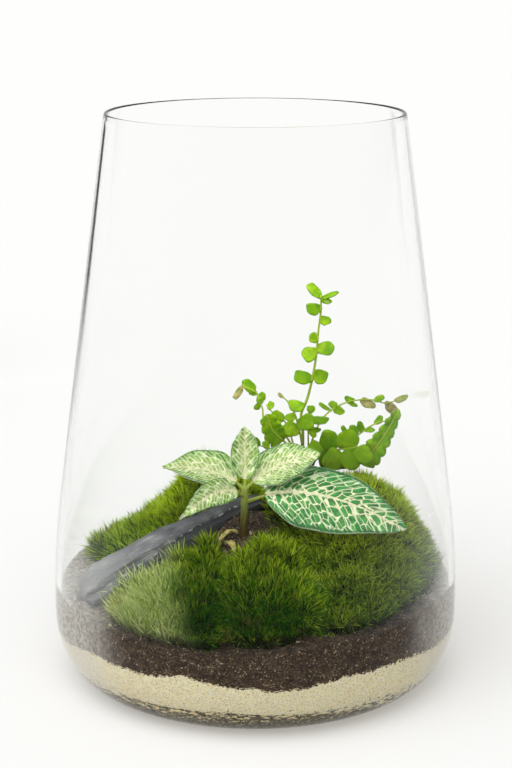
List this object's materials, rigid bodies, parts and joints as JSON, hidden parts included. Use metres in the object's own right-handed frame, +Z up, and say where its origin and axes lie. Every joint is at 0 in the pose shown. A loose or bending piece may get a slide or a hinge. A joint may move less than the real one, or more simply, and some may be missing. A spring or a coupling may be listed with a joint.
{
  "type": "glass jar terrarium",
  "caption": "Open glass jar planted as a terrarium: layered charcoal, sand and soil, moss cushions, a leaning slate, a net-veined nerve plant and a small fern.",
  "frame": {"origin": "middle of the jar's underside, on the surface it stands on", "axes": "+Z up along the jar's axis, -Y towards the viewer of the planting's front, +X to that viewer's right"},
  "size_m": [0.216, 0.216, 0.2998],
  "materials": {
    "glass": "clear, faintly green, smooth",
    "charcoal": "dark grey-green horticultural charcoal grit",
    "sand": "pale cream sand with gravel grains",
    "soil": "dark brown potting soil with light crumbs",
    "slate": "grey slate, layered, matt",
    "moss": "soft green moss tufts",
    "stem": "fleshy green stem",
    "nerve": "leaf with a dense pale net of veins",
    "nerve_dark": "bright green leaf with cream veins",
    "fern": "thin lime green leaflets, browned at some tips",
    "crown": "scaly brown crown",
    "dry": "dry brown leaf scraps"
  },
  "bodies": {
    "root": {"charcoal_layer": "charcoal", "dry_scrap_long": "dry", "dry_scrap_short": "dry", "fern_crown": "crown", "fern_frond_centre": "fern", "fern_frond_front": "fern", "fern_frond_left": "fern", "fern_frond_left_inner": "fern", "fern_frond_low_left": "fern", "fern_frond_low_right": "fern", "fern_frond_right_middle": "fern", "fern_frond_right_upper": "fern", "fern_frond_tall": "fern", "fern_sword_left": "fern", "fern_sword_right": "fern", "fittonia_leaf_centre": "nerve", "fittonia_leaf_front": "nerve", "fittonia_leaf_large": "nerve_dark", "fittonia_leaf_left": "nerve", "fittonia_leaf_right": "nerve", "fittonia_stem": "stem", "jar": "glass", "moss_back": "moss", "moss_front_centre": "moss", "moss_front_left": "moss", "moss_right": "moss", "sand_layer": "sand", "slate_stone": "slate", "soil_mound": "soil"}
  },
  "joints": []
}
